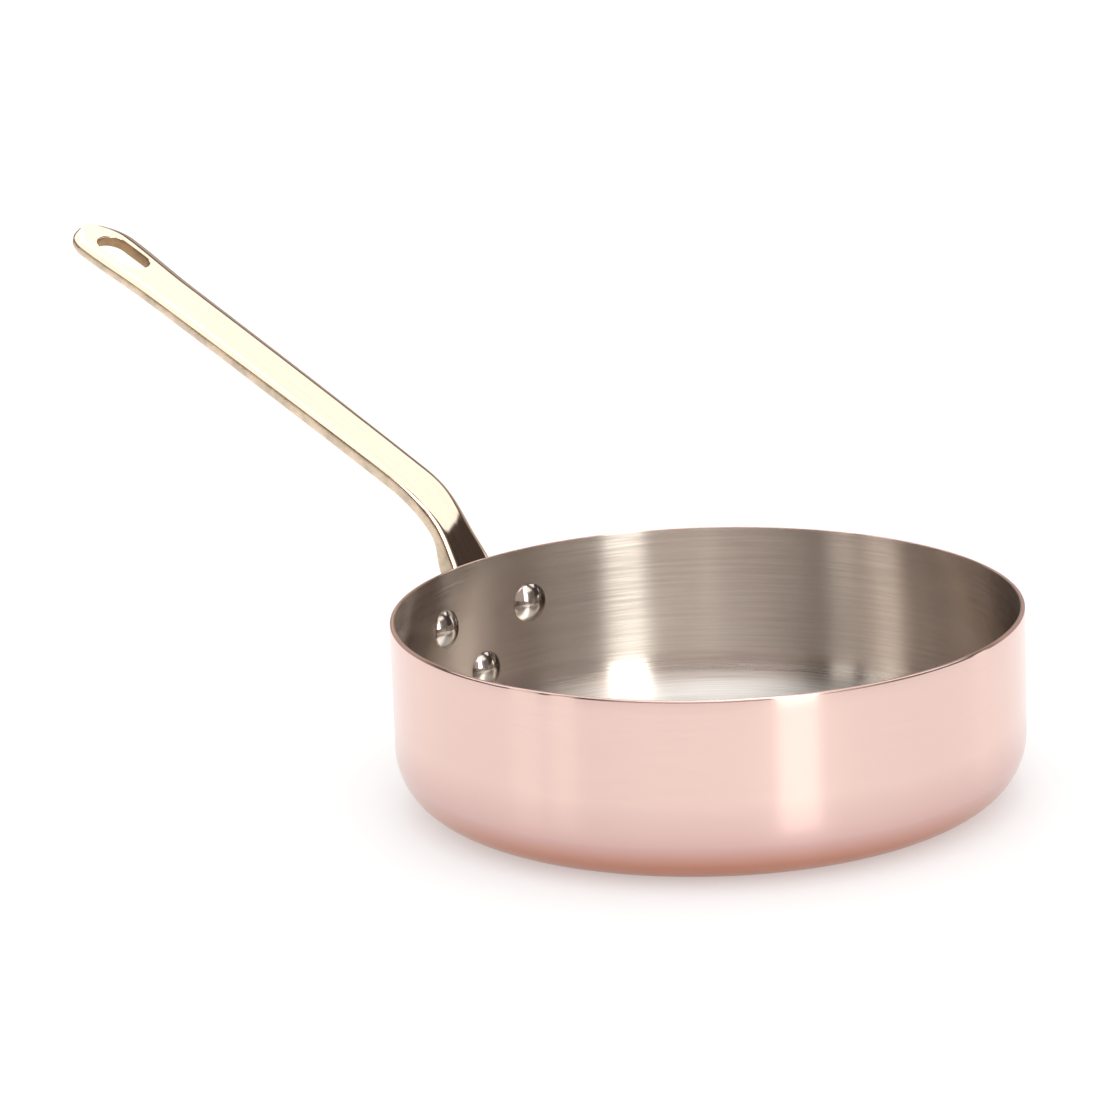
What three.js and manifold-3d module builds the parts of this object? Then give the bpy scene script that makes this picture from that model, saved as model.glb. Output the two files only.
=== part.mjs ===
// A riveted copper saute pan: a copper body lined with steel, a cast brass handle and three rivets.
// Millimetres, +Z up. The origin is the centre of the base, on the surface that the pan stands on.
// The handle points along -X. It is built along +X, where a rivet's azimuth is small, and the whole
// group is then turned half a turn.
import * as THREE from 'three';
import { mergeVertices } from 'three/addons/utils/BufferGeometryUtils.js';
import Module from 'manifold-3d';

const wasm = await Module();
wasm.setup();

// Pan: outside sizes, and the two plies that its wall is pressed from
const RIM_RADIUS = 100;
const PAN_HEIGHT = 60;
const CORNER_RADIUS = 19;
const COPPER_PLY = 1.3;
const PLY_GAP = 0.05;
const STEEL_PLY = 0.15;
const RIM_CHAMFER = 0.3;
const WALL = COPPER_PLY + PLY_GAP + STEEL_PLY;
const INSIDE_RADIUS = RIM_RADIUS - WALL;
const ROUND_SEGMENTS = 64;
const CORNER_SEGMENTS = 6;

// Rivets: two upper ones either side of the handle, and one lower one below it
const RIVET_AZIMUTH = THREE.MathUtils.degToRad(11.6);
const UPPER_RIVET_Z = PAN_HEIGHT - 18.9;
const LOWER_RIVET_Z = PAN_HEIGHT - 38.1;
const SHANK_RADIUS = 3;
const SHANK_SEGMENTS = 16;
const HOLE_CLEARANCE = 0.3;
const HEAD_RADIUS = 6.4;
const HEAD_HEIGHT = 3.2;
const TAIL_RADIUS = 5;
const TAIL_HEIGHT = 1.6;
const DOME_SEGMENTS = 24;
const DOME_STEPS = 4;
const CONTACT_GAP = 0.3;

// Handle, as the line of its inner face seen from the side: up the wall, away from it, round the bend
const FLANGE_RADIUS = RIM_RADIUS + CONTACT_GAP;
const LOBE_RADIUS = 9;
const FOOT_Z = LOWER_RIVET_Z - LOBE_RADIUS;
const LEAVES_WALL_Z = PAN_HEIGHT - 12;
const RIM_GAP = 3.4;
const SHANK_LEAN = 0.65;
const BEND_LEAN = 0.72;
const SHANK_RISE = 8.5;
const BEND_TANGENT = 14;
const HANDLE_SLOPE = THREE.MathUtils.degToRad(23.3);
const HANDLE_BOW = 0.6;
const TIP_RADIUS = 287.5;

// Handle, as its outline seen square to its faces
const RIM_HALF_WIDTH = 8.5;
const NECK_HALF_WIDTH = 7.4;
const SHOULDER_HALF_WIDTH = 8.4;
const GRIP_HALF_WIDTH = 10.6;
const END_HALF_WIDTH = 12.3;
const NECK_TO_SHOULDER = 16;
const END_SWELL = 46;
const SLOT_WIDTH = 11.2;
const SLOT_LENGTH = 22.4;
const SLOT_TO_TIP = 9.3;

// Handle, as its thickness
const FLANGE_THICKNESS = 4;
const SPINE_THICKNESS = 9;
const RIM_THICKNESS = 8;
const NECK_THICKNESS = 5.2;
const TIP_THICKNESS = 4;
const EDGE_ROUND = 1.6;

// The three metals
const COPPER = new THREE.MeshStandardMaterial({ color: 0xe8b6a2, roughness: 0.22, metalness: 1 });
const STEEL = new THREE.MeshStandardMaterial({ color: 0xb4aca4, roughness: 0.3, metalness: 1 });
const BRASS = new THREE.MeshStandardMaterial({ color: 0xe6cf96, roughness: 0.12, metalness: 1 });

const { lerp, smoothstep } = THREE.MathUtils;

// A closed geometry as a solid that can be cut and joined
function toSolid(geometry) {
  const bare = new THREE.BufferGeometry()
    .setAttribute('position', geometry.getAttribute('position'))
    .setIndex(geometry.index);
  const merged = mergeVertices(bare, 1e-4);
  const corners = [];
  for (let i = 0; i < merged.index.count; i += 3) {
    const [a, b, c] = merged.index.array.slice(i, i + 3);
    if (a !== b && b !== c && c !== a) corners.push(a, b, c);
  }
  return new wasm.Manifold(new wasm.Mesh({
    numProp: 3,
    vertProperties: merged.attributes.position.array,
    triVerts: new Uint32Array(corners),
  }));
}

function named(name, solid, material) {
  const { vertProperties, triVerts } = solid.getMesh();
  const geometry = new THREE.BufferGeometry()
    .setAttribute('position', new THREE.BufferAttribute(vertProperties, 3))
    .setIndex(new THREE.BufferAttribute(triVerts, 1));
  const mesh = new THREE.Mesh(geometry, material);
  mesh.name = name;
  return mesh;
}

// A solid turned about Z. Its profile of [radius, z] points runs up the outside, axis to axis.
function turned(profile, segments = ROUND_SEGMENTS) {
  const points = profile.map(([radius, z]) => new THREE.Vector2(radius, z));
  return new THREE.LatheGeometry(points, segments).rotateX(Math.PI / 2);
}

// The pan's section at a depth below its outside face, from the axis to the top of the wall
function panSection(depth, top) {
  const section = [[0, depth]];
  for (let i = 0; i <= CORNER_SEGMENTS; i++) {
    const angle = (i / CORNER_SEGMENTS - 1) * Math.PI / 2;
    const radius = CORNER_RADIUS - depth;
    section.push([
      RIM_RADIUS - CORNER_RADIUS + radius * Math.cos(angle),
      CORNER_RADIUS + radius * Math.sin(angle),
    ]);
  }
  section.push([RIM_RADIUS - depth, top]);
  return section;
}

// One ply of the pan, between two depths below the outside face
function ply(outer, inner, chamfer) {
  const edge = chamfer ? [[RIM_RADIUS - outer - chamfer, PAN_HEIGHT]] : [];
  return toSolid(turned([
    ...panSection(outer, PAN_HEIGHT - chamfer),
    ...edge,
    ...panSection(inner, PAN_HEIGHT).reverse(),
  ]));
}

// Where the rivets stand: azimuth about the pan's axis, and height
const rivetPlaces = {
  rivet_upper_left: [RIVET_AZIMUTH, UPPER_RIVET_Z],
  rivet_upper_right: [-RIVET_AZIMUTH, UPPER_RIVET_Z],
  rivet_lower: [0, LOWER_RIVET_Z],
};

// A solid turned about Z, laid along the pan's radius at a rivet
function atRivet(geometry, [azimuth, z]) {
  return toSolid(geometry.rotateY(Math.PI / 2).translate(0, 0, z).rotateZ(azimuth));
}

function shank(radius, from, to, place) {
  return atRivet(turned([[0, from], [radius, from], [radius, to], [0, to]], SHANK_SEGMENTS), place);
}

function drillRivetHoles(solid) {
  const radius = SHANK_RADIUS + HOLE_CLEARANCE;
  return Object.values(rivetPlaces).reduce(
    (left, place) => left.subtract(shank(radius, INSIDE_RADIUS - 5, RIM_RADIUS + 20, place)), solid);
}

// The half profile of a spherical cap that rises from z = 0 at its rim to z = height on the axis
function capProfile(radius, height) {
  const sphere = (radius * radius + height * height) / (2 * height);
  const profile = [];
  for (let i = 0; i <= DOME_STEPS; i++) {
    const angle = Math.asin(radius / sphere) * (1 - i / DOME_STEPS);
    profile.push([sphere * Math.sin(angle), height - sphere * (1 - Math.cos(angle))]);
  }
  return profile;
}

// One rivet: a domed head against the lining, a shank through the wall, and a formed tail outside.
// The head and the tail are turned too deep, then cut back to the round faces that they bear on.
function rivet(place) {
  const sink = 3;
  const join = 1;
  const headSeat = INSIDE_RADIUS - CONTACT_GAP;
  const tailSeat = FLANGE_RADIUS + FLANGE_THICKNESS + CONTACT_GAP;
  const cavity = toSolid(turned([...panSection(WALL + CONTACT_GAP, PAN_HEIGHT), [0, PAN_HEIGHT]]));
  const flangeCore = toSolid(turned([[0, 0], [tailSeat, 0], [tailSeat, PAN_HEIGHT], [0, PAN_HEIGHT]]));
  const headProfile = [
    ...capProfile(HEAD_RADIUS, HEAD_HEIGHT).reverse().map(([radius, z]) => [radius, headSeat - z]),
    [HEAD_RADIUS, headSeat + sink],
    [0, headSeat + sink],
  ];
  const tailProfile = [
    [0, tailSeat - sink],
    [TAIL_RADIUS, tailSeat - sink],
    ...capProfile(TAIL_RADIUS, TAIL_HEIGHT).map(([radius, z]) => [radius, tailSeat + z]),
  ];
  const head = atRivet(turned(headProfile, DOME_SEGMENTS), place).intersect(cavity);
  const tail = atRivet(turned(tailProfile, DOME_SEGMENTS), place).subtract(flangeCore);
  return head.add(shank(SHANK_RADIUS, headSeat - join, tailSeat + join, place)).add(tail);
}

// The line of the handle's inner face, as (radius, z)
function handleLine() {
  const climb = new THREE.Vector2(Math.cos(HANDLE_SLOPE), Math.sin(HANDLE_SLOPE));
  const intoBend = new THREE.Vector2(BEND_LEAN, 1).normalize();
  const rim = new THREE.Vector2(FLANGE_RADIUS + RIM_GAP, PAN_HEIGHT);
  const lean = new THREE.Vector2(SHANK_LEAN, 1).multiplyScalar(SHANK_RISE / 2);
  const shankMiddle = rim.clone().add(lean);
  const bendStart = shankMiddle.clone().addScaledVector(intoBend, lean.length());
  const bendCorner = bendStart.clone().addScaledVector(intoBend, BEND_TANGENT);
  const bendEnd = bendCorner.clone().addScaledVector(climb, BEND_TANGENT);
  const line = new THREE.Path();
  line.moveTo(FLANGE_RADIUS, FOOT_Z);
  line.lineTo(FLANGE_RADIUS, LEAVES_WALL_Z);
  line.quadraticCurveTo(FLANGE_RADIUS, PAN_HEIGHT - RIM_GAP / SHANK_LEAN, rim.x, rim.y);
  line.quadraticCurveTo(shankMiddle.x, shankMiddle.y, bendStart.x, bendStart.y);
  line.quadraticCurveTo(bendCorner.x, bendCorner.y, bendEnd.x, bendEnd.y);
  const tip = new THREE.Vector2(TIP_RADIUS, bendEnd.y + (TIP_RADIUS - bendEnd.x) * climb.y / climb.x);
  const middle = bendEnd.clone().lerp(tip, 0.5);
  line.quadraticCurveTo(middle.x, middle.y + 2 * HANDLE_BOW, tip.x, tip.y);
  return line;
}

const line = handleLine();
const handleLength = line.getLength();
const lengthTo = line.getCurveLengths();
const wallAlong = lengthTo[0];
const rimAlong = lengthTo[1];
const neckAlong = lengthTo[2] + 2;

// Half of the handle's flat outline, from its foot to its tip: (half width, length along the line)
function handleOutline() {
  const lobe = new THREE.Vector2(FLANGE_RADIUS * RIVET_AZIMUTH, UPPER_RIVET_Z - FOOT_Z);
  const rad = THREE.MathUtils.degToRad;
  const onLobe = (degrees) => new THREE.Vector2(
    lobe.x + LOBE_RADIUS * Math.cos(rad(degrees)), lobe.y + LOBE_RADIUS * Math.sin(rad(degrees)));
  const lobeStart = onLobe(-40);
  const shoulderAlong = neckAlong + NECK_TO_SHOULDER;
  const swellAlong = handleLength - END_SWELL;
  const endAlong = handleLength - END_HALF_WIDTH;
  const outline = new THREE.Path();
  outline.absarc(0, LOBE_RADIUS, LOBE_RADIUS, rad(-90), rad(-20), false);
  outline.quadraticCurveTo(lobe.x * 0.62, lobe.y * 0.55, lobeStart.x, lobeStart.y);
  outline.absarc(lobe.x, lobe.y, LOBE_RADIUS, rad(-40), rad(75), false);
  outline.bezierCurveTo(
    lobe.x * 0.75, lobe.y + LOBE_RADIUS * 1.2,
    RIM_HALF_WIDTH + 0.5, rimAlong - 9,
    RIM_HALF_WIDTH, rimAlong);
  outline.bezierCurveTo(
    RIM_HALF_WIDTH - 0.5, rimAlong + 5,
    NECK_HALF_WIDTH, neckAlong - 5,
    NECK_HALF_WIDTH, neckAlong);
  outline.bezierCurveTo(
    NECK_HALF_WIDTH, neckAlong + 5,
    SHOULDER_HALF_WIDTH - 0.2, shoulderAlong - 6,
    SHOULDER_HALF_WIDTH, shoulderAlong);
  outline.lineTo(GRIP_HALF_WIDTH, swellAlong);
  outline.bezierCurveTo(
    GRIP_HALF_WIDTH + 0.4, swellAlong + 14,
    END_HALF_WIDTH, endAlong - 12,
    END_HALF_WIDTH, endAlong);
  outline.absarc(0, endAlong, END_HALF_WIDTH, 0, rad(90), false);
  return outline;
}

// Thickness of the handle at a length along its line, and at a distance to the side of it
function thickness(along, side) {
  const across = Math.exp(-1.5 * (side / RIM_HALF_WIDTH) ** 2);
  const spine = across * smoothstep(along, 2 * LOBE_RADIUS, wallAlong);
  const flange = lerp(FLANGE_THICKNESS, SPINE_THICKNESS, spine);
  const shankAtRim = lerp(RIM_THICKNESS, NECK_THICKNESS, smoothstep(along, rimAlong, neckAlong));
  const bar = lerp(shankAtRim, TIP_THICKNESS, Math.max(0, along - neckAlong) / (handleLength - neckAlong));
  return lerp(flange, bar, smoothstep(along, wallAlong, rimAlong));
}

// A point of the handle: along its line, to the side of it, and below its inner face.
// The flange wraps round the pan, and the shank flattens out as it leaves the wall.
function handlePoint(along, side, below) {
  const at = line.getPointAt(Math.min(along / handleLength, 1));
  const tangent = line.getTangentAt(Math.min(along / handleLength, 1));
  const wrap = (1 - smoothstep(along, wallAlong, rimAlong)) / FLANGE_RADIUS;
  const turn = side * wrap;
  const lateral = wrap > 0 ? Math.sin(turn) / wrap : side;
  const sag = wrap > 0 ? (1 - Math.cos(turn)) / wrap : 0;
  const outward = tangent.y * below;
  return new THREE.Vector3(
    at.x - sag + outward * Math.cos(turn),
    lateral + outward * Math.sin(turn),
    at.y - tangent.x * below);
}

// One section across the handle: the inner face, a rounded edge, the outer face, the other edge
function handleRing(half, along) {
  const across = 6;
  const edgeSteps = 2;
  const edge = Math.min(EDGE_ROUND, half / 2);
  const face = (i) => (half - edge) * (2 * i / across - 1);
  const ring = [];
  const push = (side, share) => ring.push(handlePoint(along, side, thickness(along, side) * share));
  const pushEdge = (sign, k) => {
    const angle = Math.PI * k / (edgeSteps + 1);
    push(sign * (half - edge + edge * Math.sin(angle)), (1 - Math.cos(angle)) / 2);
  };
  for (let i = across; i >= 0; i--) push(face(i), 0);
  for (let k = 1; k <= edgeSteps; k++) pushEdge(-1, k);
  for (let i = 0; i <= across; i++) push(face(i), 1);
  for (let k = edgeSteps; k >= 1; k--) pushEdge(1, k);
  return ring;
}

// A closed skin over a row of rings, with a point at each end
function loft(rings, first, last) {
  const count = rings[0].length;
  const at = (row, i) => 1 + row * count + (i % count);
  const end = 1 + rings.length * count;
  const corners = [];
  for (let i = 0; i < count; i++) {
    corners.push(0, at(0, i + 1), at(0, i));
    for (let row = 0; row < rings.length - 1; row++) {
      corners.push(at(row, i), at(row + 1, i + 1), at(row + 1, i));
      corners.push(at(row, i), at(row, i + 1), at(row + 1, i + 1));
    }
    corners.push(end, at(rings.length - 1, i), at(rings.length - 1, i + 1));
  }
  return new THREE.BufferGeometry().setFromPoints([first, ...rings.flat(), last]).setIndex(corners);
}

function handleBar() {
  const narrowest = 1.5;
  const closest = 0.4;
  const stations = [];
  for (const point of handleOutline().getPoints(6)) {
    const previous = stations[stations.length - 1];
    const clear = !previous || point.y - previous.y > closest;
    if (point.x > narrowest && clear) stations.push(point);
  }
  const rings = stations.map((point) => handleRing(point.x, point.y));
  const middle = (along) => handlePoint(along, 0, thickness(along, 0) / 2);
  return toSolid(loft(rings, middle(0), middle(handleLength)));
}

// The hanging slot: two half rounds and the straight between them, square to the faces
function slotCutter() {
  const reach = (SLOT_LENGTH - SLOT_WIDTH) / 2;
  const depth = 20;
  const slot = new THREE.Shape();
  slot.absarc(reach, 0, SLOT_WIDTH / 2, -Math.PI / 2, Math.PI / 2, false);
  slot.absarc(-reach, 0, SLOT_WIDTH / 2, Math.PI / 2, Math.PI * 1.5, false);
  const centre = line.getPointAt(1 - (SLOT_TO_TIP + SLOT_LENGTH / 2) / handleLength);
  return toSolid(new THREE.ExtrudeGeometry(slot, { depth, bevelEnabled: false, curveSegments: 8 })
    .translate(0, 0, -depth / 2)
    .rotateY(-HANDLE_SLOPE)
    .translate(centre.x, 0, centre.y));
}

const pan = new THREE.Group();
pan.name = 'saute_pan';
pan.rotation.z = Math.PI;
pan.add(named('copper_body', drillRivetHoles(ply(0, COPPER_PLY, RIM_CHAMFER)), COPPER));
pan.add(named('steel_lining', drillRivetHoles(ply(COPPER_PLY + PLY_GAP, WALL, 0)), STEEL));
pan.add(named('brass_handle', drillRivetHoles(handleBar().subtract(slotCutter())), BRASS));
for (const [name, place] of Object.entries(rivetPlaces)) {
  pan.add(named(name, rivet(place), STEEL));
}

export default pan;
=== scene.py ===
"""Looks of a riveted copper saute pan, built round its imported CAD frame. Metres, +Z up.

The pan stands on z = 0 with its handle along -X. The pieces here replace the faceted CAD nodes with
finer ones of the same size and place.
"""
import math
from bisect import bisect_right

import bmesh
import bpy
from mathutils import Matrix, Vector


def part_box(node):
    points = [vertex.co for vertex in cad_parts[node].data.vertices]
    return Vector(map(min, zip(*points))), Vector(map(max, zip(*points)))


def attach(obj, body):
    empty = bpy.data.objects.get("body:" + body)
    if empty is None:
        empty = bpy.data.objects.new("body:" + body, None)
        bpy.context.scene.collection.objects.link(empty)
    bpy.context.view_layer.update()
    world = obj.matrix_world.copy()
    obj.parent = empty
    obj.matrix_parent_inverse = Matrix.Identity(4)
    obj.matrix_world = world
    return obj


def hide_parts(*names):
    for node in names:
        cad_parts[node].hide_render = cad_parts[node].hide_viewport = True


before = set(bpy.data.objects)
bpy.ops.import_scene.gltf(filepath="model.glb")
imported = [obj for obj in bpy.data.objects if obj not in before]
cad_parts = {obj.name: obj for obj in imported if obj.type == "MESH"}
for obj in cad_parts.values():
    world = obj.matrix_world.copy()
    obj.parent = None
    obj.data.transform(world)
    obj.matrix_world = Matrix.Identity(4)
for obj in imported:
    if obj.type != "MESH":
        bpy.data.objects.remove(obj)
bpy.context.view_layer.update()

MM = 0.001
BODY = "root"

# Pan; its outside, and the lining's depth below that, come from the CAD's boxes
_, pan_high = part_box("copper_body")
lining_low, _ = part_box("steel_lining")
RIM_RADIUS = pan_high[0]
PAN_HEIGHT = pan_high[2]
LINING_DEPTH = lining_low[2]
CORNER_RADIUS = 19 * MM
COPPER_PLY = 1.3 * MM
WALL = 1.5 * MM
RIM_ROUND = 0.7 * MM
RIM_INNER_ROUND = 0.15 * MM

# Rivets; head and tail sink a little into what they hold, so that no gap shows round them
RIVET_AZIMUTH = math.radians(11.6)
UPPER_RIVET_Z = PAN_HEIGHT - 18.9 * MM
LOWER_RIVET_Z = PAN_HEIGHT - 38.1 * MM
HEAD_RADIUS = 6.4 * MM
HEAD_HEIGHT = 3.2 * MM
HEAD_SKIRT = 0.4 * MM
TAIL_RADIUS = 5 * MM
TAIL_HEIGHT = 1.6 * MM
SHANK_RADIUS = 3 * MM
SEAT_SINK = 0.6 * MM

# Handle, as in the CAD: the line of its inner face, its outline, its slot and its thickness. Its tip
# is 0.4 mm short of the CAD's, so that the finer curve stays inside the CAD's box
CONTACT_GAP = 0.3 * MM
FLANGE_RADIUS = RIM_RADIUS + CONTACT_GAP
LOBE_RADIUS = 9 * MM
FOOT_Z = LOWER_RIVET_Z - LOBE_RADIUS
LEAVES_WALL_Z = PAN_HEIGHT - 12 * MM
RIM_GAP = 3.4 * MM
SHANK_LEAN = 0.65
BEND_LEAN = 0.72
SHANK_RISE = 8.5 * MM
BEND_TANGENT = 14 * MM
HANDLE_SLOPE = math.radians(23.3)
HANDLE_BOW = 0.6 * MM
TIP_RADIUS = 287.1 * MM
RIM_HALF_WIDTH = 8.5 * MM
NECK_HALF_WIDTH = 7.4 * MM
SHOULDER_HALF_WIDTH = 8.4 * MM
GRIP_HALF_WIDTH = 10.6 * MM
END_HALF_WIDTH = 12.3 * MM
SHANK_TO_NECK = 2 * MM
NECK_TO_SHOULDER = 16 * MM
END_SWELL = 46 * MM
SLOT_WIDTH = 11.2 * MM
SLOT_LENGTH = 22.4 * MM
SLOT_TO_TIP = 9.3 * MM
FLANGE_THICKNESS = 4 * MM
SPINE_THICKNESS = 9 * MM
RIM_THICKNESS = 8 * MM
NECK_THICKNESS = 5.2 * MM
TIP_THICKNESS = 4 * MM


def lerp(a, b, t):
    return a + (b - a) * t


def smoothstep(x, low, high):
    t = min(max((x - low) / (high - low), 0.0), 1.0)
    return t * t * (3 - 2 * t)


# Mesh helpers

def mesh_object(name, vertices, faces, sharp_degrees=30):
    mesh = bpy.data.meshes.new(name)
    mesh.from_pydata(vertices, [], faces)
    mesh.validate()
    mesh.shade_smooth()
    mesh.set_sharp_from_angle(angle=math.radians(sharp_degrees))
    piece = bpy.data.objects.new(name, mesh)
    bpy.context.scene.collection.objects.link(piece)
    return piece


def face_outward(mesh):
    """Turns the faces of a closed mesh outward."""
    work = bmesh.new()
    work.from_mesh(mesh)
    bmesh.ops.recalc_face_normals(work, faces=work.faces)
    work.to_mesh(mesh)
    work.free()


def lathe(profile, segments):
    """Vertices and faces of a closed solid turned about Z, from a profile that starts and ends on it."""
    bottom, *middle, top = profile
    vertices = [Vector((0, 0, bottom[1]))]
    for radius, z in middle:
        for i in range(segments):
            turn = 2 * math.pi * i / segments
            vertices.append(Vector((radius * math.cos(turn), radius * math.sin(turn), z)))
    vertices.append(Vector((0, 0, top[1])))
    last = len(vertices) - 1

    def at(row, i):
        return 1 + row * segments + i % segments

    faces = []
    for i in range(segments):
        faces.append((0, at(0, i + 1), at(0, i)))
        for row in range(len(middle) - 1):
            faces.append((at(row, i), at(row, i + 1), at(row + 1, i + 1), at(row + 1, i)))
        faces.append((at(len(middle) - 1, i), at(len(middle) - 1, i + 1), last))
    return vertices, faces


def loft(rings):
    """Vertices and faces of a closed solid drawn through rings of points, with a flat face on each end."""
    count = len(rings[0])
    vertices = [point for ring in rings for point in ring]
    faces = []
    for row in range(len(rings) - 1):
        for i in range(count):
            a = row * count + i
            b = row * count + (i + 1) % count
            faces.append((a, a + count, b + count, b))
    faces.append(tuple(range(count)))
    faces.append(tuple(reversed(range(len(vertices) - count, len(vertices)))))
    return vertices, faces


def arc(centre, radius, start, end, steps):
    """Points of an arc in degrees, both ends included."""
    points = []
    for i in range(steps + 1):
        turn = math.radians(lerp(start, end, i / steps))
        points.append((centre[0] + radius * math.cos(turn), centre[1] + radius * math.sin(turn)))
    return points


def fit(piece, node):
    """The piece stands for a CAD node, which it hides, and rides on its body."""
    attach(piece, BODY)
    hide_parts(node)


# Pan

ROUND_SEGMENTS = 320
CORNER_SEGMENTS = 28
FLOOR_RINGS = 14
WALL_RINGS = 10
RIM_STEPS = 5
RIM_INNER_STEPS = 3
PAN_SHARP_DEGREES = 50


def pan_section(depth, top):
    """The pan's section at a depth below its outside face, from the axis to the top of the wall."""
    flat = RIM_RADIUS - CORNER_RADIUS
    wall = RIM_RADIUS - depth
    section = [(flat * i / FLOOR_RINGS, depth) for i in range(FLOOR_RINGS)]
    section += arc((flat, CORNER_RADIUS), CORNER_RADIUS - depth, -90, 0, CORNER_SEGMENTS)
    section += [(wall, lerp(CORNER_RADIUS, top, i / WALL_RINGS)) for i in range(1, WALL_RINGS + 1)]
    return section


def make_copper_body():
    """The outer ply, with its rim rounded on the outside and only broken on the inside."""
    outside = pan_section(0, PAN_HEIGHT - RIM_ROUND)
    rim = arc((RIM_RADIUS - RIM_ROUND, PAN_HEIGHT - RIM_ROUND), RIM_ROUND, 0, 90, RIM_STEPS)[1:]
    inner_centre = (RIM_RADIUS - COPPER_PLY + RIM_INNER_ROUND, PAN_HEIGHT - RIM_INNER_ROUND)
    rim += arc(inner_centre, RIM_INNER_ROUND, 90, 180, RIM_INNER_STEPS)
    inside = pan_section(COPPER_PLY, PAN_HEIGHT - RIM_INNER_ROUND)[:-1]
    vertices, faces = lathe(outside + rim + inside[::-1], ROUND_SEGMENTS)
    return mesh_object("copper_shell", vertices, faces, PAN_SHARP_DEGREES)


def make_steel_lining():
    """The inner ply, which ends where the rim's inner rounding starts."""
    top = PAN_HEIGHT - RIM_INNER_ROUND
    outer = pan_section(LINING_DEPTH, top)
    inner = pan_section(WALL, top)
    vertices, faces = lathe(outer + inner[::-1], ROUND_SEGMENTS)
    return mesh_object("lining_shell", vertices, faces, PAN_SHARP_DEGREES)


# Rivets

DOME_STEPS = 14
RIVET_SEGMENTS = 56
RIVET_SHARP_DEGREES = 40


def cap(radius, height):
    """Half profile of a spherical cap, from its edge at z = 0 up to the axis."""
    sphere = (radius * radius + height * height) / (2 * height)
    points = []
    for i in range(DOME_STEPS + 1):
        turn = math.asin(min(radius / sphere, 1.0)) * (1 - i / DOME_STEPS)
        points.append((sphere * math.sin(turn), height - sphere * (1 - math.cos(turn))))
    return points


def make_rivet(name, azimuth, z):
    """A domed head inside the wall, a shank through it and a low tail outside the handle's flange."""
    head_seat = RIM_RADIUS - WALL
    tail_seat = FLANGE_RADIUS + FLANGE_THICKNESS
    dome = cap(HEAD_RADIUS, HEAD_HEIGHT - HEAD_SKIRT)
    profile = [(radius, head_seat - HEAD_SKIRT - rise) for radius, rise in reversed(dome)]
    profile += [(radius, head_seat + SEAT_SINK) for radius in (HEAD_RADIUS, SHANK_RADIUS)]
    profile += [(radius, tail_seat - SEAT_SINK) for radius in (SHANK_RADIUS, TAIL_RADIUS)]
    profile += [(radius, tail_seat + rise) for radius, rise in cap(TAIL_RADIUS, TAIL_HEIGHT)]
    vertices, faces = lathe(profile, RIVET_SEGMENTS)
    lay_down = Matrix.Rotation(math.pi / 2, 4, "Y")
    place = Matrix.Rotation(math.pi + azimuth, 4, "Z") @ Matrix.Translation((0, 0, z)) @ lay_down
    return mesh_object(name, [place @ vertex for vertex in vertices], faces, RIVET_SHARP_DEGREES)


# Handle

CURVE_STEPS = 60
BAR_CURVE_STEPS = 200
TANGENT_REACH = 0.4 * MM
LEAST_STEP = 1e-9


class Line:
    """A smooth line in the plane as a fine polyline, read by the length along it."""

    def __init__(self, points):
        self.points = [Vector(points[0])]
        self.lengths = [0.0]
        for point in map(Vector, points[1:]):
            step = (point - self.points[-1]).length
            if step > LEAST_STEP:
                self.lengths.append(self.lengths[-1] + step)
                self.points.append(point)
        self.length = self.lengths[-1]

    def at(self, along):
        along = min(max(along, 0.0), self.length)
        high = min(bisect_right(self.lengths, along), len(self.lengths) - 1)
        low = high - 1
        share = (along - self.lengths[low]) / (self.lengths[high] - self.lengths[low])
        return self.points[low].lerp(self.points[high], share)

    def tangent(self, along):
        return (self.at(along + TANGENT_REACH) - self.at(along - TANGENT_REACH)).normalized()


def bezier(points, steps=CURVE_STEPS):
    """Points of a Bezier curve of any order, both ends included."""
    curve = []
    for i in range(steps + 1):
        t = i / steps
        level = [Vector(p) for p in points]
        while len(level) > 1:
            level = [a.lerp(b, t) for a, b in zip(level, level[1:])]
        curve.append(tuple(level[0]))
    return curve


def handle_line():
    """The line of the handle's inner face as (radius, z), and the lengths along it at its landmarks."""
    climb = Vector((math.cos(HANDLE_SLOPE), math.sin(HANDLE_SLOPE)))
    into_bend = Vector((BEND_LEAN, 1)).normalized()
    rim = Vector((FLANGE_RADIUS + RIM_GAP, PAN_HEIGHT))
    lean = Vector((SHANK_LEAN, 1)) * (SHANK_RISE / 2)
    shank_middle = rim + lean
    bend_start = shank_middle + into_bend * lean.length
    bend_corner = bend_start + into_bend * BEND_TANGENT
    bend_end = bend_corner + climb * BEND_TANGENT
    tip = Vector((TIP_RADIUS, bend_end.y + (TIP_RADIUS - bend_end.x) * climb.y / climb.x))
    bowed = bend_end.lerp(tip, 0.5) + Vector((0, 2 * HANDLE_BOW))
    leaves_wall = (FLANGE_RADIUS, LEAVES_WALL_Z)
    wall = [(FLANGE_RADIUS, FOOT_Z), leaves_wall]
    fillet = bezier([leaves_wall, (FLANGE_RADIUS, PAN_HEIGHT - RIM_GAP / SHANK_LEAN), rim])
    shank = bezier([rim, shank_middle, bend_start])
    bend = bezier([bend_start, bend_corner, bend_end])
    bar = bezier([bend_end, bowed, tip], BAR_CURVE_STEPS)
    whole = Line(wall + fillet + shank + bend + bar)
    marks = {
        "wall": Line(wall).length,
        "rim": Line(wall + fillet).length,
        "neck": Line(wall + fillet + shank).length + SHANK_TO_NECK,
    }
    return whole, marks


line, marks = handle_line()
handle_length = line.length

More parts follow.
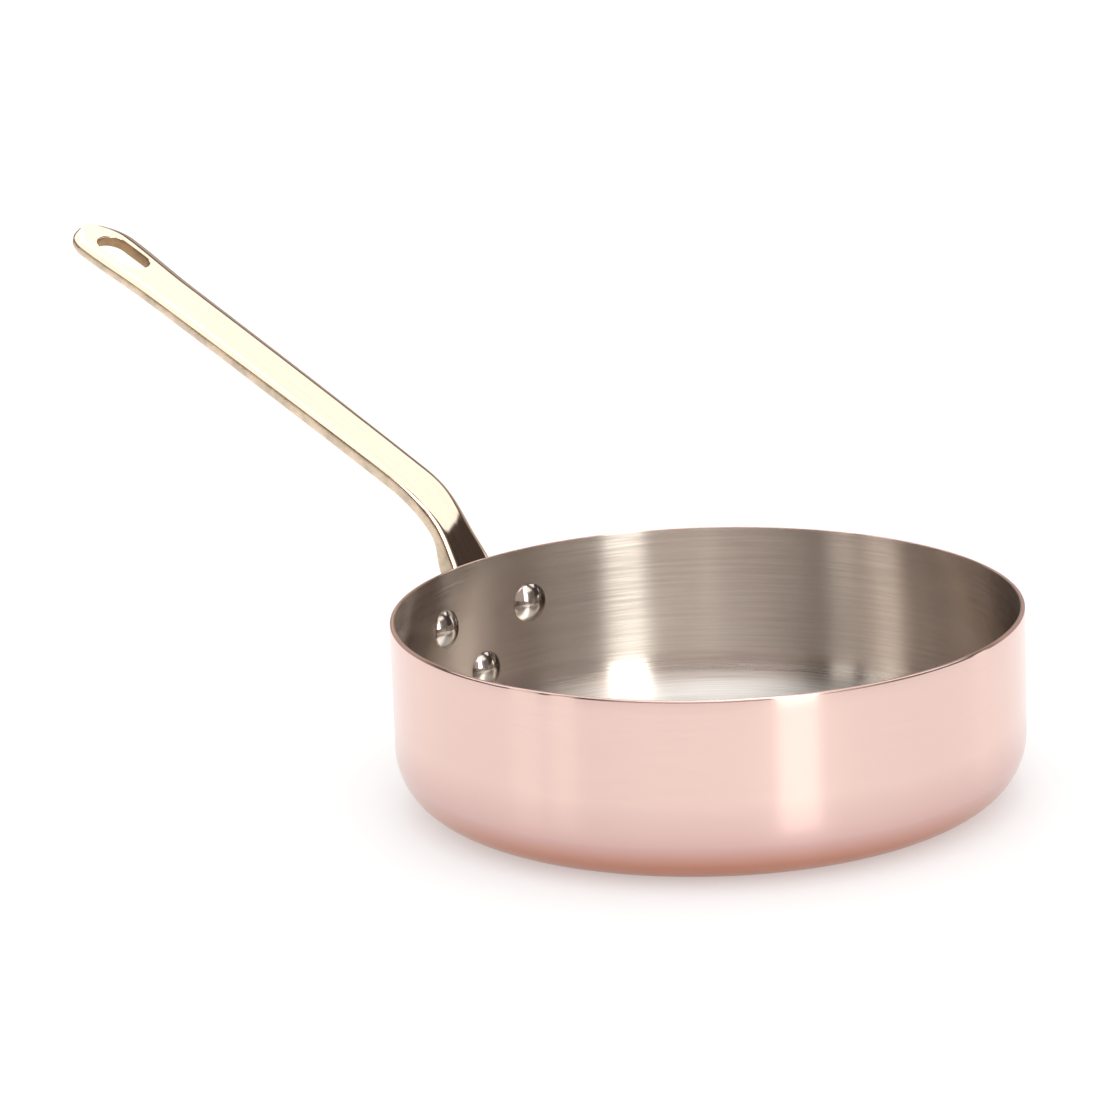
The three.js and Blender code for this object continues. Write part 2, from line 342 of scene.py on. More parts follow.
# The flange's lobes as arcs in degrees, and where its curves are pulled to, in parts of the upper lobe's
# place and radius
FOOT_ARC = (-90, -20)
UPPER_LOBE_ARC = (-40, 75)
LOBE_STEPS = 24
END_STEPS = 40
WAIST_PULL = (0.62, 0.55)
ROOT_PULL = (0.75, 1.2)

# How far the outline's curves run on past their ends before they turn, as (across, along)
BEFORE_RIM = (0.5 * MM, 9 * MM)
AFTER_RIM = (0.5 * MM, 5 * MM)
ROUND_NECK = 5 * MM
BEFORE_SHOULDER = (0.2 * MM, 6 * MM)
AFTER_GRIP = (0.4 * MM, 14 * MM)
BEFORE_END = 12 * MM


def handle_outline():
    """Half of the handle's flat outline as a polyline of (half width, length along the line)."""
    lobe = (FLANGE_RADIUS * RIVET_AZIMUTH, UPPER_RIVET_Z - FOOT_Z)
    foot = arc((0, LOBE_RADIUS), LOBE_RADIUS, *FOOT_ARC, LOBE_STEPS)
    upper = arc(lobe, LOBE_RADIUS, *UPPER_LOBE_ARC, LOBE_STEPS)
    rim, neck = marks["rim"], marks["neck"]
    shoulder = neck + NECK_TO_SHOULDER
    swell = handle_length - END_SWELL
    end = handle_length - END_HALF_WIDTH
    points = foot
    points += bezier([foot[-1], (lobe[0] * WAIST_PULL[0], lobe[1] * WAIST_PULL[1]), upper[0]])
    points += upper
    points += bezier([
        upper[-1],
        (lobe[0] * ROOT_PULL[0], lobe[1] + LOBE_RADIUS * ROOT_PULL[1]),
        (RIM_HALF_WIDTH + BEFORE_RIM[0], rim - BEFORE_RIM[1]),
        (RIM_HALF_WIDTH, rim),
    ])
    points += bezier([
        (RIM_HALF_WIDTH, rim),
        (RIM_HALF_WIDTH - AFTER_RIM[0], rim + AFTER_RIM[1]),
        (NECK_HALF_WIDTH, neck - ROUND_NECK),
        (NECK_HALF_WIDTH, neck),
    ])
    points += bezier([
        (NECK_HALF_WIDTH, neck),
        (NECK_HALF_WIDTH, neck + ROUND_NECK),
        (SHOULDER_HALF_WIDTH - BEFORE_SHOULDER[0], shoulder - BEFORE_SHOULDER[1]),
        (SHOULDER_HALF_WIDTH, shoulder),
    ])
    points += bezier([(SHOULDER_HALF_WIDTH, shoulder), (GRIP_HALF_WIDTH, swell)])
    points += bezier([
        (GRIP_HALF_WIDTH, swell),
        (GRIP_HALF_WIDTH + AFTER_GRIP[0], swell + AFTER_GRIP[1]),
        (END_HALF_WIDTH, end - BEFORE_END),
        (END_HALF_WIDTH, end),
    ])
    points += arc((0, end), END_HALF_WIDTH, 0, 90, END_STEPS)
    return points


SPINE_NARROWNESS = 1.5


def thickness(along, side):
    """Thickness of the handle at a length along its line and a distance to the side of it."""
    across = math.exp(-SPINE_NARROWNESS * (side / RIM_HALF_WIDTH) ** 2)
    spine = across * smoothstep(along, 2 * LOBE_RADIUS, marks["wall"])
    flange = lerp(FLANGE_THICKNESS, SPINE_THICKNESS, spine)
    shank = lerp(RIM_THICKNESS, NECK_THICKNESS, smoothstep(along, marks["rim"], marks["neck"]))
    past_neck = max(0.0, along - marks["neck"]) / (handle_length - marks["neck"])
    bar = lerp(shank, TIP_THICKNESS, past_neck)
    return lerp(flange, bar, smoothstep(along, marks["wall"], marks["rim"]))


LEAST_WRAP = 1e-6


def handle_point(along, side, below):
    """The place of a point along the handle's line, to the side of it and below its inner face.

    The flange wraps round the wall, and the wrap fades out between the wall and the rim.
    """
    at = line.at(along)
    tangent = line.tangent(along)
    wrap = (1 - smoothstep(along, marks["wall"], marks["rim"])) / FLANGE_RADIUS
    turn = side * wrap
    lateral = math.sin(turn) / wrap if wrap > LEAST_WRAP else side
    sag = (1 - math.cos(turn)) / wrap if wrap > LEAST_WRAP else 0.0
    outward = tangent.y * below
    return Vector((
        -(at.x - sag + outward * math.cos(turn)),
        -(lateral + outward * math.sin(turn)),
        at.y - tangent.x * below,
    ))


# The handle's section: a face with a faint crown, edges that fall away from it to a crease, upright
# sides and a rounded underside; the far edge falls more towards the tip than the near one
FACE_STEPS = 14
EDGE_STEPS = 6
SIDE_STEPS = 3
UNDER_EDGE_STEPS = 5
NECK_CROWN = 0.25 * MM
NECK_EDGE = 1.6 * MM
TIP_EDGE = 3.6 * MM
WIDEST_EDGE = 0.4
NECK_EDGE_DROP = 0.7 * MM
NEAR_TIP_EDGE_DROP = 1.0 * MM
FAR_TIP_EDGE_DROP = 1.7 * MM
CREASE_ROUND = 0.35 * MM
CREASE_MIDDLE = (0.3 * CREASE_ROUND, 0.2 * CREASE_ROUND)
UNDER_ROUND = 1.7 * MM
WIDEST_UNDER_ROUND = 0.45
DEEPEST_UNDER_ROUND = 0.5


def handle_section(half, along):
    """One ring round the handle as (side, depth) pairs, from its face over the near side and back."""
    to_end = smoothstep(along, marks["neck"], handle_length - END_SWELL / 2)
    crown = NECK_CROWN * (1 - smoothstep(along, marks["neck"], marks["neck"] + 2 * NECK_TO_SHOULDER))
    crown *= smoothstep(along, marks["wall"], marks["rim"])
    edge = min(lerp(NECK_EDGE, TIP_EDGE, to_end), half * WIDEST_EDGE)
    depth = thickness(along, half)
    flat = half - edge
    near_fall, far_fall = (
        lerp(NECK_EDGE_DROP, tip_drop, to_end) * min(1.0, half / (2 * edge))
        for tip_drop in (NEAR_TIP_EDGE_DROP, FAR_TIP_EDGE_DROP)
    )

    def crowned(side):
        return crown * (side / half) ** 2

    def edge_points(fall):
        """From the end of the flat face over the edge, its crease and the side to the underside."""
        lip = crown + fall
        under = min(UNDER_ROUND, half * WIDEST_UNDER_ROUND, (depth - lip) * DEEPEST_UNDER_ROUND)
        points = []
        for i in range(1, EDGE_STEPS + 1):
            side = lerp(flat, half - CREASE_ROUND, i / EDGE_STEPS)
            over = (side - flat) / edge
            points.append((side, crowned(side) + fall * (over + over * over) / 2))
        points.append((half - CREASE_MIDDLE[0], lip + CREASE_MIDDLE[1]))
        for i in range(SIDE_STEPS):
            points.append((half, lerp(lip + CREASE_ROUND, depth - under, i / SIDE_STEPS)))
        return points + arc((half - under, depth - under), under, 0, 90, UNDER_EDGE_STEPS)

    near, far = edge_points(near_fall), edge_points(far_fall)
    top = [lerp(-flat, flat, i / FACE_STEPS) for i in range(FACE_STEPS + 1)]
    bottom = [lerp(near[-1][0], -far[-1][0], i / FACE_STEPS) for i in range(1, FACE_STEPS)]
    ring = [(side, crowned(side)) for side in top]
    ring += near
    ring += [(side, thickness(along, side)) for side in bottom]
    ring += [(-side, down) for side, down in reversed(far)]
    return ring


# Where the handle's sections stand: closer together near its foot and its tip
SECTION_SPACING = 0.9 * MM
END_SECTION_SPACING = 0.25 * MM
FOOT_REACH = 4 * MM
TIP_REACH = 5 * MM
LEAST_HALF_WIDTH = 0.6 * MM
HANDLE_SHARP_DEGREES = 24


def make_handle_bar():
    """The handle before its slot is cut."""
    outline = [point for point in handle_outline() if point[0] > LEAST_HALF_WIDTH]
    stations = [outline[0]]
    for half, along in outline[1:]:
        near_end = along < FOOT_REACH or along > handle_length - TIP_REACH
        if along - stations[-1][1] > (END_SECTION_SPACING if near_end else SECTION_SPACING):
            stations.append((half, along))
    rings = []
    for half, along in stations:
        section = handle_section(half, along)
        rings.append([handle_point(along, side, below) for side, below in section])
    vertices, faces = loft(rings)
    return mesh_object("handle_casting", vertices, faces, HANDLE_SHARP_DEGREES)


SLOT_LIP = 0.5 * MM
SLOT_LIP_TURNS = (20, 45, 70, 90)
SLOT_END_STEPS = 20
CUTTER_RISE = 3 * MM
CUTTER_FLARE = 6 * SLOT_LIP


def make_slot_cutter():
    """The hanging slot as a cutter whose mouths flare, so that the slot's edges come out rounded."""
    middle_along = handle_length - SLOT_TO_TIP - SLOT_LENGTH / 2
    centre = line.at(middle_along)
    tangent = line.tangent(middle_along)
    depth = thickness(middle_along, 0)
    levels = [(-CUTTER_RISE, CUTTER_FLARE)]
    for turn in map(math.radians, SLOT_LIP_TURNS):
        levels.append((SLOT_LIP * (1 - math.cos(turn)), SLOT_LIP * (1 - math.sin(turn))))
    levels += [(depth - below, grow) for below, grow in reversed(levels)]
    reach = (SLOT_LENGTH - SLOT_WIDTH) / 2
    rings = []
    for below, grow in levels:
        radius = SLOT_WIDTH / 2 + grow
        points = arc((reach, 0), radius, -90, 90, SLOT_END_STEPS)
        points += arc((-reach, 0), radius, 90, 270, SLOT_END_STEPS)
        rings.append([Vector((
            -(centre.x + x * tangent.x + below * tangent.y),
            -y,
            centre.y + x * tangent.y - below * tangent.x,
        )) for x, y in points])
    vertices, faces = loft(rings)
    return mesh_object("slot_cutter", vertices, faces)


def make_handle():
    """The whole handle, with its slot cut through it."""
    bar = make_handle_bar()
    cutter = make_slot_cutter()
    face_outward(bar.data)
    face_outward(cutter.data)
    cut = bar.modifiers.new("slot", "BOOLEAN")
    cut.operation = "DIFFERENCE"
    cut.solver = "EXACT"
    cut.object = cutter
    baked = bpy.data.meshes.new_from_object(bar.evaluated_get(bpy.context.evaluated_depsgraph_get()))
    bar.modifiers.clear()
    bar.data = baked
    baked.shade_smooth()
    baked.set_sharp_from_angle(angle=math.radians(HANDLE_SHARP_DEGREES))
    bpy.data.objects.remove(cutter)
    return bar


# Materials

# A Mix node's two inputs and its result, as socket numbers for each kind of data
MIX_SOCKETS = {"VECTOR": (4, 5, 1), "RGBA": (6, 7, 2)}


def new_material(name):
    material = bpy.data.materials.new(name)
    material.use_nodes = True
    return material, material.node_tree.nodes["Principled BSDF"]


def times(colour, factor):
    return tuple(channel * factor for channel in colour)


class Nodes:
    """A node tree, with short calls for the nodes that it is made of."""

    def __init__(self, tree):
        self.nodes = tree.nodes
        self.links = tree.links

    def put(self, socket, value):
        if isinstance(value, bpy.types.NodeSocket):
            self.links.new(value, socket)
        else:
            socket.default_value = value

    def math(self, operation, a, b=0.0):
        node = self.nodes.new("ShaderNodeMath")
        node.operation = operation
        self.put(node.inputs[0], a)
        self.put(node.inputs[1], b)
        return node.outputs[0]

    def vector_math(self, operation, a, b=None, scale=None):
        node = self.nodes.new("ShaderNodeVectorMath")
        node.operation = operation
        for socket, value in ((0, a), (1, b), ("Scale", scale)):
            if value is not None:
                self.put(node.inputs[socket], value)
        return node.outputs[0]

    def split(self, vector):
        node = self.nodes.new("ShaderNodeSeparateXYZ")
        self.links.new(vector, node.inputs[0])
        return node.outputs

    def combine(self, x, y, z):
        node = self.nodes.new("ShaderNodeCombineXYZ")
        for socket, value in zip(node.inputs, (x, y, z)):
            self.put(socket, value)
        return node.outputs[0]

    def length(self, x, y):
        squares = self.math("ADD", self.math("MULTIPLY", x, x), self.math("MULTIPLY", y, y))
        return self.math("SQRT", squares)

    def weigh(self, a, b, share):
        """The first value's share and the rest of the second."""
        return self.math("ADD", self.math("MULTIPLY", a, share), self.math("MULTIPLY", b, 1 - share))

    def remap(self, value, low, high, to_low=0.0, to_high=1.0, curve="LINEAR"):
        node = self.nodes.new("ShaderNodeMapRange")
        node.interpolation_type = curve
        self.put(node.inputs["Value"], value)
        for name, number in zip(("From Min", "From Max", "To Min", "To Max"), (low, high, to_low, to_high)):
            node.inputs[name].default_value = number
        return node.outputs[0]

    def mix(self, kind, factor, a, b):
        node = self.nodes.new("ShaderNodeMix")
        node.data_type = kind
        first, second, result = MIX_SOCKETS[kind]
        self.put(node.inputs["Factor"], factor)
        self.put(node.inputs[first], a)
        self.put(node.inputs[second], b)
        return node.outputs[result]


# Near the Z axis the direction out from it fades away inside this radius
LEAST_RADIUS = 4 * MM
# How far apart in the noise two neighbouring lines are read, so that they don't look alike
LINE_STRIDE = 7.31
# Anisotropic rotation runs from 0 to 1 for a whole turn
QUARTER_TURN = 0.25


class Metal(Nodes):
    """A metal's material, with calls for the patterns that it is made of."""

    def __init__(self, name, colour, roughness):
        self.material, self.shader = new_material(name)
        super().__init__(self.material.node_tree)
        self.colour = colour
        self.shader.inputs["Metallic"].default_value = 1
        self.shader.inputs["Roughness"].default_value = roughness
        self.place = self.nodes.new("ShaderNodeTexCoord").outputs["Object"]

    def height(self):
        return self.split(self.place)["Z"]

    def polar(self):
        """The direction out from the Z axis as x and y, then the distance from it and the height."""
        x, y, z = self.split(self.place)
        radius = self.length(x, y)
        safe = self.math("MAXIMUM", radius, LEAST_RADIUS)
        return self.math("DIVIDE", x, safe), self.math("DIVIDE", y, safe), radius, z

    def turned(self, round_count, across, separate=False):
        """Coordinates for a pattern drawn out along circles about Z, as a grain or as separate lines."""
        out_x, out_y, radius, z = self.polar()
        step = self.math("MULTIPLY", self.math("ADD", radius, z), across)
        if separate:
            step = self.math("MULTIPLY", self.math("FLOOR", step), LINE_STRIDE)
        return self.combine(
            self.math("MULTIPLY", out_x, round_count),
            self.math("MULTIPLY", out_y, round_count),
            step,
        )

    def stretched(self, scale):
        node = self.nodes.new("ShaderNodeMapping")
        self.links.new(self.place, node.inputs["Vector"])
        node.inputs["Scale"].default_value = scale
        return node.outputs[0]

    def noise(self, vector, scale=1.0, detail=2.0, rough=0.5):
        node = self.nodes.new("ShaderNodeTexNoise")
        self.links.new(vector, node.inputs["Vector"])
        node.inputs["Scale"].default_value = scale
        node.inputs["Detail"].default_value = detail
        node.inputs["Roughness"].default_value = rough
        return node.outputs["Fac"]

    def blend(self, factor, a, b):
        """A mix of two colours, each of them three numbers or a socket."""
        first, second = ((*colour, 1) if isinstance(colour, tuple) else colour for colour in (a, b))
        return self.mix("RGBA", factor, first, second)

    def shades(self, factor, darkest, lightest):
        """The metal's own colour, between two multiples of it."""
        return self.blend(factor, times(self.colour, darkest), times(self.colour, lightest))

    def paint(self, colour):
        self.put(self.shader.inputs["Base Color"], colour)

    def rough(self, value):
        self.put(self.shader.inputs["Roughness"], value)

    def bump(self, height, distance, normal=None):
        node = self.nodes.new("ShaderNodeBump")
        self.put(node.inputs["Height"], height)
        node.inputs["Distance"].default_value = distance
        if normal is not None:
            self.links.new(normal, node.inputs["Normal"])
        self.put(self.shader.inputs["Normal"], node.outputs[0])
        return node.outputs[0]

    def lean(self, amount):
        """Tips the surface up or down a wall, in or out on a floor, and never round the pan."""
        out_x, out_y, _, _ = self.polar()
        tip = self.vector_math("SCALE", self.combine(out_x, out_y, 1.0), scale=amount)
        normal = self.nodes.new("ShaderNodeNewGeometry").outputs["Normal"]
        leaning = self.vector_math("NORMALIZE", self.vector_math("ADD", normal, tip))
        self.put(self.shader.inputs["Normal"], leaning)

    def brushed_round(self):
        """Highlights drawn out up and down, as on metal brushed along circles about Z."""
        self.shader.inputs["Anisotropic"].default_value = 1.0
        self.shader.inputs["Anisotropic Rotation"].default_value = QUARTER_TURN
        tangent = self.nodes.new("ShaderNodeTangent")
        tangent.direction_type = "RADIAL"
        tangent.axis = "Z"
        self.links.new(tangent.outputs["Tangent"], self.shader.inputs["Tangent"])


# A noise's middle value, and two ranges of its values: the narrower one gives more contrast
MIDDLE = 0.5
WIDE = (0.3, 0.7)
NARROW = (0.35, 0.65)

# The copper's tone, then painted shade low down and a redder painted reflection of the shaded floor at the
# base, and the heights between which each of these two fades out
COPPER = (0.80, 0.58, 0.522)
LOW_PAINTED_SHADE = (0.67, 0.45, 0.42)
LOW_PAINTED_SHADE_HEIGHTS = (15 * MM, 30 * MM)
BASE_PAINTED_REFLECTION = (0.57, 0.275, 0.195)
BASE_PAINTED_REFLECTION_HEIGHTS = (8 * MM, 16 * MM)
CLOUD_RISE = 3 * MM
GRAIN_SHARE = 0.4


def copper_material():
    """Polished copper with a fine turned grain and faint clouds, painted shade low down and a redder
    painted reflection at its base.
    """
    metal = Metal("polished_copper", COPPER, roughness=0.2)
    grain = metal.noise(metal.turned(round_count=6, across=900), detail=3, rough=0.6)
    clouds = metal.noise(metal.place, scale=14, detail=3)
    shade = metal.remap(metal.weigh(grain, clouds, GRAIN_SHARE), *NARROW)
    polished = metal.shades(shade, darkest=0.975, lightest=1.02)
    level = metal.math("ADD", metal.height(), metal.math("MULTIPLY", clouds, CLOUD_RISE))
    # Painted shade on the lower wall, then a darker, redder painted reflection of the shaded floor at the
    # base
    with_low_shade = metal.blend(metal.remap(level, *LOW_PAINTED_SHADE_HEIGHTS, 1, 0), polished, LOW_PAINTED_SHADE)
    metal.paint(metal.blend(metal.remap(level, *BASE_PAINTED_REFLECTION_HEIGHTS, 1, 0), with_low_shade, BASE_PAINTED_REFLECTION))
    metal.rough(metal.remap(clouds, *WIDE, 0.165, 0.18))
    metal.bump(grain, distance=0.004 * MM)
    metal.brushed_round()
    return metal.material


# The lining's tone on its floor, the darker painted shade on its wall, and its roughness change between
# floor and wall over these heights
FLOOR_TONE = (0.93, 0.905, 0.87)
WALL_PAINTED_SHADE = (0.71, 0.635, 0.58)
WALL_SHADE_HEIGHTS = (3 * MM, 9 * MM)
FLOOR_EXTRA_ROUGHNESS = 0.09
ROUGHNESS_HEIGHTS = (3 * MM, 14 * MM)

# Its brushed lines: how much of their tone is fine, how far they go to black and white, how far they tip
FINE_SHARE = 0.65
LINE_BLACK = 0.12
LINE_WHITE = 0.08
LINE_LEAN = 0.11


def lining_material():
    """Stainless steel brushed round the pan in fine straight lines, its wall painted darker than the floor
    as shade.
    """
    metal = Metal("brushed_lining", FLOOR_TONE, roughness=0.25)
    fine = metal.noise(metal.turned(round_count=4, across=3000, separate=True), detail=0)
    coarse = metal.noise(metal.turned(round_count=2, across=1700, separate=True), detail=0)
    tone = metal.weigh(fine, coarse, FINE_SHARE)
    # The wall's darker tone is painted shade
    ground = metal.blend(metal.remap(metal.height(), *WALL_SHADE_HEIGHTS), FLOOR_TONE, WALL_PAINTED_SHADE)
    darkest = metal.blend(LINE_BLACK, ground, (0, 0, 0))
    lightest = metal.blend(LINE_WHITE, ground, (1, 1, 1))
    metal.paint(metal.blend(metal.remap(tone, *NARROW), darkest, lightest))
    extra = metal.remap(metal.height(), *ROUGHNESS_HEIGHTS, FLOOR_EXTRA_ROUGHNESS, 0.0)
    metal.rough(metal.math("ADD", metal.remap(tone, *NARROW, 0.245, 0.265), extra))
    metal.lean(metal.math("MULTIPLY", metal.math("SUBTRACT", tone, MIDDLE), LINE_LEAN))
    metal.brushed_round()
    return metal.material


POLISHED_BRASS = (0.92, 0.78, 0.615)
SCRATCH_SCALE = (40, 900, 60)


def brass_material():
    """Brass polished by hand: a gentle waviness under fine scratches along the handle."""
    metal = Metal("polished_brass", POLISHED_BRASS, roughness=0.1)
    wave = metal.noise(metal.place, scale=60)
    scratches = metal.noise(metal.stretched(SCRATCH_SCALE), detail=3, rough=0.6)
    metal.paint(metal.shades(metal.remap(scratches, *WIDE), darkest=0.94, lightest=1.02))
    metal.rough(metal.remap(scratches, *WIDE, 0.05, 0.09))
    waved = metal.bump(wave, distance=0.12 * MM)
    metal.bump(scratches, distance=0.002 * MM, normal=waved)
    return metal.material


FILED_BRASS = (0.79, 0.645, 0.49)
# Rough cast brass, its dark brown partly painted shade for the slot's walls and the creases
ROUGH_SHADED_BRASS = (0.42, 0.27, 0.15)


def cast_brass_material(name, colour):
    """Brass left as cast and at most dressed with a file: dull, stained and pitted."""
    metal = Metal(name, colour, roughness=0.35)
    pits = metal.noise(metal.place, scale=1400, detail=3, rough=0.6)
    stain = metal.noise(metal.place, scale=160, detail=3, rough=0.6)
    metal.paint(metal.shades(metal.remap(stain, *NARROW), darkest=0.72, lightest=1.1))
    metal.rough(metal.remap(stain, *WIDE, 0.3, 0.5))
    metal.bump(pits, distance=0.06 * MM)
    return metal.material


RIVET_STEEL = (0.70, 0.655, 0.61)


def rivet_material():
    """Polished steel with hammer ripples too shallow to see but in the reflections."""
    metal = Metal("polished_rivet", RIVET_STEEL, roughness=0.1)
    ripple = metal.noise(metal.place, scale=320)
    metal.paint(metal.shades(metal.remap(ripple, *WIDE), darkest=0.93, lightest=1.03))
    metal.rough(metal.remap(ripple, *WIDE, 0.08, 0.13))
    metal.bump(ripple, distance=0.04 * MM)
    return metal.material


def dress(piece, *materials):
    piece.data.materials.clear()
    for material in materials:
        piece.data.materials.append(material)


# The handle's second and third materials, and how its faces are told apart by their normals
FILED = 1
ROUGH = 2
SIDE_NORMAL = 0.88
CREASE_NORMAL = 0.5
SLOT_WALL_NORMAL = 0.5
SLOT_REACH = 40 * MM
SLOT_MARGIN = 0.1 * MM


def leave_sides_cast(piece):
    """The handle's sides are filed brass; the creases above them and the walls of the slot are rough brass,
    painted dark as shade.
    """
    slope = line.tangent(handle_length - END_SWELL)
    for face in piece.data.polygons:
        near_tip = face.center.x < -TIP_RADIUS + SLOT_REACH
        near_slot = near_tip and abs(face.center.y) < SLOT_WIDTH / 2 + SLOT_MARGIN
        up_or_down = abs(face.normal.x * slope.y + face.normal.z * slope.x)
        sideways = abs(face.normal.y)
        crease = CREASE_NORMAL < sideways <= SIDE_NORMAL and face.normal.z > 0
        if crease or (near_slot and up_or_down < SLOT_WALL_NORMAL):
            face.material_index = ROUGH
        elif sideways > SIDE_NORMAL:
            face.material_index = FILED


# Camera

CAMERA_AZIMUTH = math.radians(43.68)
CAMERA_ELEVATION = math.radians(15.083)
CAMERA_ROLL = math.radians(-2.176)
CAMERA_DISTANCE = 1.4
CAMERA_LENS = 145.378
CAMERA_SENSOR = 36
RIM_RIGHT_OF_CENTRE = 49.295 * MM
RIM_BELOW_CENTRE = 18.239 * MM


def make_camera():
    """The camera stands back from the rim's centre, which it sees to the right of and below its axis."""
    back = Vector((
        math.sin(CAMERA_AZIMUTH) * math.cos(CAMERA_ELEVATION),
        -math.cos(CAMERA_AZIMUTH) * math.cos(CAMERA_ELEVATION),
        math.sin(CAMERA_ELEVATION),
    ))
    level = Vector((math.cos(CAMERA_AZIMUTH), math.sin(CAMERA_AZIMUTH), 0))
    upright = back.cross(level)
    right = level * math.cos(CAMERA_ROLL) + upright * math.sin(CAMERA_ROLL)
    up = upright * math.cos(CAMERA_ROLL) - level * math.sin(CAMERA_ROLL)
    rim_centre = Vector((0, 0, PAN_HEIGHT))
    place = rim_centre + back * CAMERA_DISTANCE - right * RIM_RIGHT_OF_CENTRE + up * RIM_BELOW_CENTRE
    data = bpy.data.cameras.new("camera")
    data.lens = CAMERA_LENS
    data.sensor_width = CAMERA_SENSOR
    camera = bpy.data.objects.new("camera", data)
    camera.matrix_world = Matrix((
        (right.x, up.x, back.x, place.x),
        (right.y, up.y, back.y, place.y),
        (right.z, up.z, back.z, place.z),
        (0, 0, 0, 1),
    ))
    bpy.context.scene.collection.objects.link(camera)
    bpy.context.scene.camera = camera


# Floor and light

STUDIO_FLOOR_RADIUS = 6
STUDIO_FLOOR_SEGMENTS = 96
STUDIO_FLOOR_GREY = 0.6
STUDIO_FLOOR_ROUGHNESS = 0.6
STUDIO_FLOOR_GLOW = 0.4


def make_floor():
    """A wide pale floor that gives off a little light, so that it reads as plain white."""
    bpy.ops.mesh.primitive_circle_add(
        vertices=STUDIO_FLOOR_SEGMENTS, radius=STUDIO_FLOOR_RADIUS, fill_type="NGON", location=(0, 0, 0)
    )
    floor = bpy.context.object
    floor.name = "floor"
    material, shader = new_material("floor_white")
    shader.inputs["Base Color"].default_value = (STUDIO_FLOOR_GREY, STUDIO_FLOOR_GREY, STUDIO_FLOOR_GREY, 1)
    shader.inputs["Roughness"].default_value = STUDIO_FLOOR_ROUGHNESS
    shader.inputs["Emission Color"].default_value = (1, 1, 1, 1)
    shader.inputs["Emission Strength"].default_value = STUDIO_FLOOR_GLOW
    dress(floor, material)


# The studio's soft lights: azimuth to the right of the camera, half width and side softness, then lowest
# elevation, highest and end softness, all in degrees, then strength and colour.
# A panel keeps its azimuth all the way up. A strip bends outward with height, just so that an upright wall
# mirrors it to the camera as an upright band.
WHITE = (1, 1, 1)
WARM_WHITE = (1, 0.975, 0.92)
ROSE_GREY = (1, 0.84, 0.78)
STRIPS = {
    "key": (29, 6.8, 1.4, -5, 60, 8, 4.15, (1, 1.04, 1)),
    "front": (3, 24, 29, 0, 60, 20, 0.45, ROSE_GREY),
    "beside_key": (50, 16, 16, 0, 60, 20, 0.14, ROSE_GREY),
    "left_near": (-55.4, 4.6, 0.6, 0, 42, 6, 1.12, WARM_WHITE),
    "left_far": (-71.2, 5.6, 1, 0, 42, 6, 0.97, WARM_WHITE),
    "right_slit": (112, 3, 3, 0, 23, 5, 1.3, WARM_WHITE),
}
PANELS = {
    "right_fill": (58, 14, 8, 38, 64, 8, 1.1, WARM_WHITE),
    "back": (181, 81, 3, 37.5, 95, 1.5, 1.25, WHITE),
    "horizon": (180, 50, 20, 3, 30, 8, 0.45, ROSE_GREY),
    "overhead": (0, 71, 5, 62, 95, 10, 2.2, (0.97, 1, 1)),
}
ROOM = (0.06, 0.046, 0.042)
FLOOR_LIGHT = 1.28
BACKDROP_LIGHT = 1.0


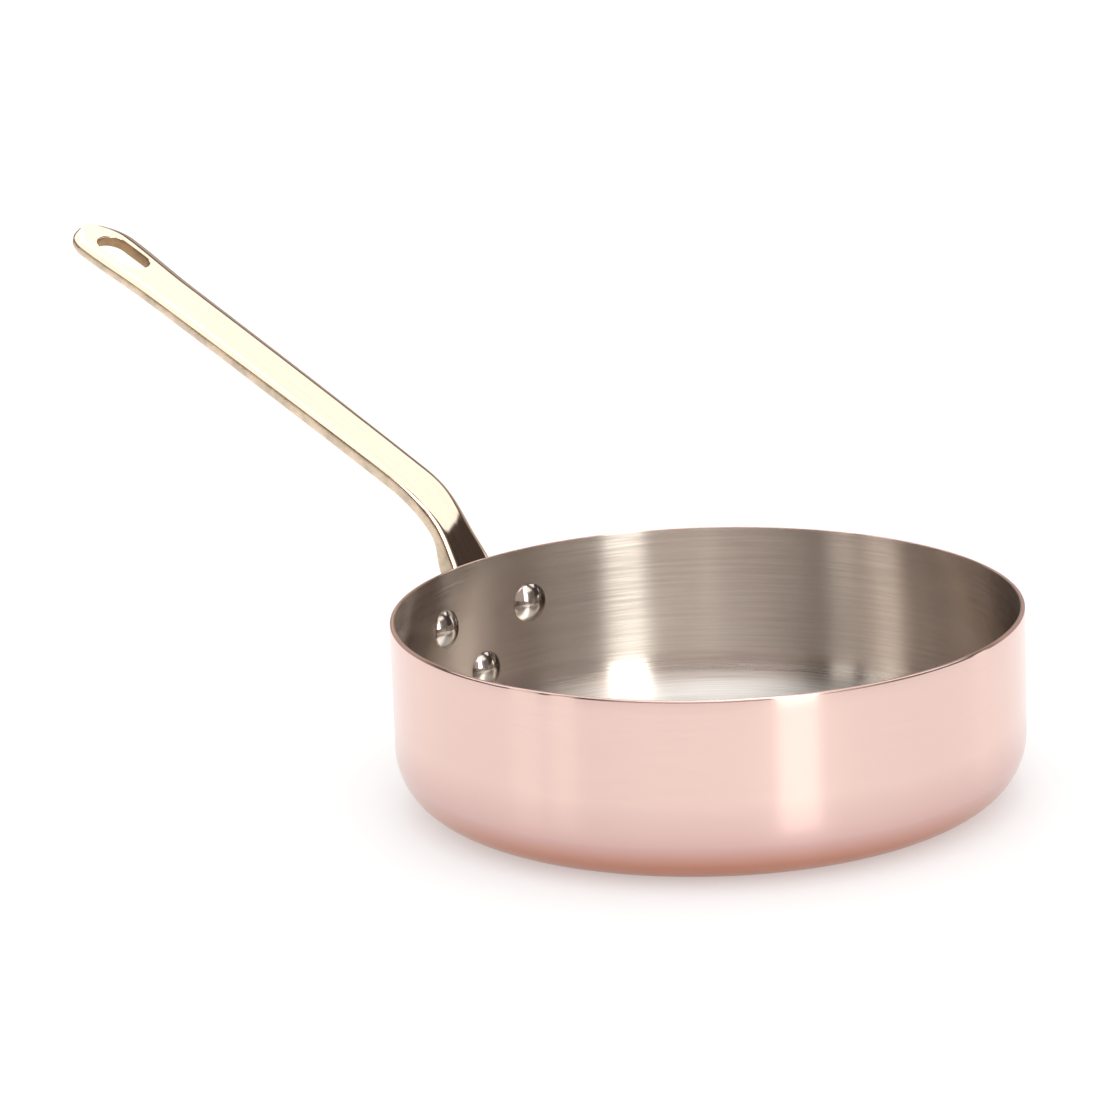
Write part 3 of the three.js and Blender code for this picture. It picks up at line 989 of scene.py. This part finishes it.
def make_world():
    """A dim room with soft lights, for the metals to reflect; floor and backdrop get an even white."""
    world = bpy.data.worlds.new("studio")
    bpy.context.scene.world = world
    world.use_nodes = True
    tree = Nodes(world.node_tree)
    x, y, z = tree.split(tree.nodes.new("ShaderNodeTexCoord").outputs["Generated"])
    level = tree.length(x, y)
    elevation = tree.math("DEGREES", tree.math("ARCTAN2", z, level))

    # A wall that mirrors a direction to the camera faces along the sum of the two. Seen from above, that
    # sum turns half as far from the camera as a light on the horizon does.
    camera_level = math.cos(CAMERA_ELEVATION)
    wall_x = tree.math("ADD", x, camera_level * math.sin(CAMERA_AZIMUTH))
    wall_y = tree.math("SUBTRACT", y, camera_level * math.cos(CAMERA_AZIMUTH))
    panel_frame = (x, y, level, 1.0)
    strip_frame = (wall_x, wall_y, tree.length(wall_x, wall_y), 0.5)

    def ramp(value, low, high):
        return tree.remap(value, low, high, curve="SMOOTHSTEP")

    def glow(light, east, north, distance, share):
        azimuth, half_width, side_soft, low, high, end_soft, strength, colour = light
        turn = CAMERA_AZIMUTH + math.radians(azimuth * share)
        toward = tree.math(
            "ADD",
            tree.math("MULTIPLY", east, math.sin(turn)),
            tree.math("MULTIPLY", north, -math.cos(turn)),
        )
        off = tree.math("DEGREES", tree.math("ARCCOSINE", tree.math("DIVIDE", toward, distance)))
        across = ramp(off, (half_width + side_soft) * share, half_width * share)
        over_low = ramp(elevation, low - end_soft / 2, low + end_soft / 2)
        under_high = ramp(elevation, high + end_soft / 2, high - end_soft / 2)
        amount = tree.math("MULTIPLY", tree.math("MULTIPLY", across, over_low), under_high)
        return tree.vector_math("SCALE", times(colour, strength), scale=amount)

    seen = ROOM
    for lights, measured in ((STRIPS, strip_frame), (PANELS, panel_frame)):
        for light in lights.values():
            seen = tree.vector_math("ADD", seen, glow(light, *measured))
    path = tree.nodes.new("ShaderNodeLightPath").outputs
    for kind, white in (("Is Diffuse Ray", FLOOR_LIGHT), ("Is Camera Ray", BACKDROP_LIGHT)):
        seen = tree.mix("VECTOR", path[kind], seen, (white, white, white))
    tree.links.new(seen, tree.nodes["Background"].inputs["Color"])
    world.cycles.sampling_method = "NONE"


make_camera()
copper_body = make_copper_body()
steel_lining = make_steel_lining()
handle = make_handle()
fit(copper_body, "copper_body")
fit(steel_lining, "steel_lining")
fit(handle, "brass_handle")

dress(copper_body, copper_material())
dress(steel_lining, lining_material())
dress(
    handle,
    brass_material(),
    cast_brass_material("filed_brass", FILED_BRASS),
    cast_brass_material("rough_shaded_brass", ROUGH_SHADED_BRASS),
)
leave_sides_cast(handle)
rivet_steel = rivet_material()
rivet_places = {
    "rivet_upper_left": (RIVET_AZIMUTH, UPPER_RIVET_Z),
    "rivet_upper_right": (-RIVET_AZIMUTH, UPPER_RIVET_Z),
    "rivet_lower": (0, LOWER_RIVET_Z),
}
for node, (azimuth, z) in rivet_places.items():
    rivet = make_rivet(node.replace("rivet", "domed_rivet"), azimuth, z)
    fit(rivet, node)
    dress(rivet, rivet_steel)

make_floor()
make_world()
bpy.context.scene.view_settings.view_transform = "Standard"
